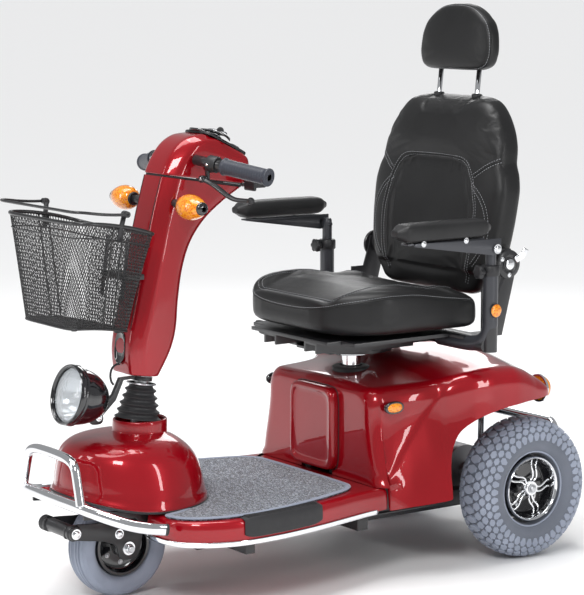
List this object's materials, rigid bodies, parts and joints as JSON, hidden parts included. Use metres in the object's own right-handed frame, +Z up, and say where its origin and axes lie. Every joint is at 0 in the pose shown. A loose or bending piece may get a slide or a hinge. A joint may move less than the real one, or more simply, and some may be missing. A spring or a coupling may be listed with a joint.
{
  "type": "mobility scooter",
  "caption": "Three-wheeled mobility scooter with a tiller, mesh basket, swivel armchair seat with headrest, painted body shells and grey tyres.",
  "frame": {"origin": "on the floor, midway along the scooter's length and on its centre line", "axes": "+Z up, the scooter faces -Y, +X is the rider's left side"},
  "size_m": [0.68, 1.3224, 1.286],
  "materials": {
    "painted_steel_black": "satin",
    "red_paint": "gloss clear coat over metallic",
    "carpet": "loop pile",
    "step_rubber": "ribbed matt",
    "chrome": "polished",
    "amber_lens": "clear amber",
    "tyre_grey": "matt",
    "cast_alloy": "cast",
    "motor_case": "machined",
    "battery_case": "moulded",
    "black_plastic": "fine texture",
    "gloss_black": "gloss",
    "lens_clear": "clear",
    "rubber_black": "matt",
    "grip_rubber": "soft",
    "wire_black": "powder coated wire",
    "vinyl": "grained black vinyl",
    "arm_pad_foam": "skinned foam",
    "grey_metal": "satin grey",
    "steel": "turned",
    "rim_black": "gloss"
  },
  "bodies": {
    "chassis": {"chassis_frame": "painted_steel_black", "seat_tube": "painted_steel_black", "floor_pan": "red_paint", "floor_mat": "carpet", "side_step_pads": "step_rubber", "edge_trim": "chrome", "front_cowl": "red_paint", "front_bumper": "chrome", "rear_body": "red_paint", "battery_cover": "red_paint", "side_markers": "amber_lens", "rear_lamps": "amber_lens", "rear_bumper": "chrome", "transaxle": "cast_alloy", "drive_motor": "motor_case", "batteries": "battery_case"},
    "rear_wheel_left": {"rear_tyre_left": "tyre_grey", "rear_rim_left": "rim_black"},
    "rear_wheel_right": {"rear_tyre_right": "tyre_grey", "rear_rim_right": "rim_black"},
    "steering": {"steering_stem": "steel", "front_fork": "painted_steel_black", "fork_bolts": "chrome", "headlight_bracket": "painted_steel_black", "headlight_cable": "rubber_black", "steering_boot": "rubber_black"},
    "front_wheel": {"front_tyre": "tyre_grey", "front_rim": "rim_black"},
    "headlight": {"headlight_housing": "gloss_black", "headlight_lens": "lens_clear"},
    "tiller": {"tiller_frame": "painted_steel_black", "tiller_cover": "red_paint", "console_head": "red_paint", "console_panel": "black_plastic", "handlebar": "painted_steel_black", "handlebar_grips": "grip_rubber", "turn_signals": "amber_lens", "charger_socket": "black_plastic", "basket": "wire_black"},
    "basket_handle": {"basket_handle": "wire_black"},
    "brake_lever": {"brake_lever": "painted_steel_black"},
    "throttle_lever": {"throttle_lever": "black_plastic"},
    "speed_dial": {"speed_dial": "black_plastic"},
    "ignition_key": {"ignition_key": "steel"},
    "seat_post": {"seat_post": "chrome"},
    "seat_swivel": {"swivel_plate": "painted_steel_black"},
    "seat": {"seat_base": "painted_steel_black", "seat_cushion": "vinyl"},
    "seat_levers": {"seat_levers": "painted_steel_black"},
    "backrest": {"backrest_frame": "painted_steel_black", "backrest_cushion": "vinyl"},
    "headrest": {"headrest_posts": "chrome", "headrest_cushion": "vinyl"},
    "arm_post_left": {"arm_post_left": "grey_metal"},
    "arm_post_right": {"arm_post_right": "grey_metal"},
    "armrest_left": {"arm_bracket_left": "grey_metal", "arm_pad_left": "arm_pad_foam"},
    "armrest_right": {"arm_bracket_right": "grey_metal", "arm_pad_right": "arm_pad_foam"}
  },
  "joints": [
    {"name": "rear_wheel_left_spin", "type": "hinge", "parent": "chassis", "child": "rear_wheel_left", "pos_m": [0.253, 0.48, 0.165], "axis": [1, 0, 0], "continuous": true},
    {"name": "rear_wheel_right_spin", "type": "hinge", "parent": "chassis", "child": "rear_wheel_right", "pos_m": [-0.253, 0.48, 0.165], "axis": [1, 0, 0], "continuous": true},
    {"name": "steer", "type": "hinge", "parent": "chassis", "child": "steering", "pos_m": [0, -0.408, 0.43], "axis": [0, 0.1392, 0.9903], "range_deg": [-40, 40]},
    {"name": "front_wheel_spin", "type": "hinge", "parent": "steering", "child": "front_wheel", "pos_m": [0, -0.469, 0.113], "axis": [1, 0, 0], "continuous": true},
    {"name": "headlight_tilt", "type": "hinge", "parent": "steering", "child": "headlight", "pos_m": [0, -0.52, 0.402], "axis": [1, 0, 0], "range_deg": [-5, 10]},
    {"name": "tiller_tilt", "type": "hinge", "parent": "steering", "child": "tiller", "pos_m": [0, -0.398, 0.5], "axis": [1, 0, 0], "range_deg": [-6, 10], "deforming": ["headlight_cable"]},
    {"name": "basket_handle_swing", "type": "hinge", "parent": "tiller", "child": "basket_handle", "pos_m": [0.178, -0.541, 0.858], "axis": [-1, 0, 0], "range_deg": [0, 95]},
    {"name": "brake_squeeze", "type": "hinge", "parent": "tiller", "child": "brake_lever", "pos_m": [0.1, -0.306, 0.914], "axis": [0, -1, 0], "range_deg": [0, 8], "stiffness_Nm_per_rad": 3, "springref_deg": -5.73},
    {"name": "throttle", "type": "hinge", "parent": "tiller", "child": "throttle_lever", "pos_m": [0, -0.132, 0.893], "axis": [0, 0, 1], "range_deg": [-8, 8], "stiffness_Nm_per_rad": 2},
    {"name": "speed_dial_turn", "type": "hinge", "parent": "tiller", "child": "speed_dial", "pos_m": [0, -0.21237, 0.98468], "axis": [0, 0.4473, 0.8944], "range_deg": [0, 270]},
    {"name": "key_turn", "type": "hinge", "parent": "tiller", "child": "ignition_key", "pos_m": [0.036, -0.22668, 0.99184], "axis": [0, 0.4473, 0.8944], "range_deg": [0, 90]},
    {"name": "seat_height", "type": "slide", "parent": "chassis", "child": "seat_post", "axis": [0, 0, 1], "range_m": [0, 0.05]},
    {"name": "seat_swivel", "type": "hinge", "parent": "seat_post", "child": "seat_swivel", "pos_m": [0, 0.17, 0.487], "axis": [0, 0, 1], "range_deg": [-90, 90]},
    {"name": "seat_slide", "type": "slide", "parent": "seat_swivel", "child": "seat", "axis": [0, 1, 0], "range_m": [-0.06, 0.06]},
    {"name": "seat_lever_lift", "type": "hinge", "parent": "seat", "child": "seat_levers", "pos_m": [-0.114, 0.107, 0.512], "axis": [0, 1, 0], "range_deg": [0, 5], "stiffness_Nm_per_rad": 3, "springref_deg": -6.88},
    {"name": "backrest_recline", "type": "hinge", "parent": "seat", "child": "backrest", "pos_m": [0, 0.43, 0.692], "axis": [-1, 0, 0], "range_deg": [-20, 30]},
    {"name": "headrest_height", "type": "slide", "parent": "backrest", "child": "headrest", "axis": [0, 0.1104, 0.9939], "range_m": [0, 0.06]},
    {"name": "arm_height_left", "type": "slide", "parent": "seat", "child": "arm_post_left", "axis": [0, 0, 1], "range_m": [0, 0.05]},
    {"name": "arm_height_right", "type": "slide", "parent": "seat", "child": "arm_post_right", "axis": [0, 0, 1], "range_m": [0, 0.05]},
    {"name": "arm_flip_left", "type": "hinge", "parent": "arm_post_left", "child": "armrest_left", "pos_m": [0.312, 0.327, 0.742], "axis": [-1, 0, 0], "range_deg": [0, 90]},
    {"name": "arm_flip_right", "type": "hinge", "parent": "arm_post_right", "child": "armrest_right", "pos_m": [-0.312, 0.327, 0.742], "axis": [-1, 0, 0], "range_deg": [0, 90]}
  ]
}
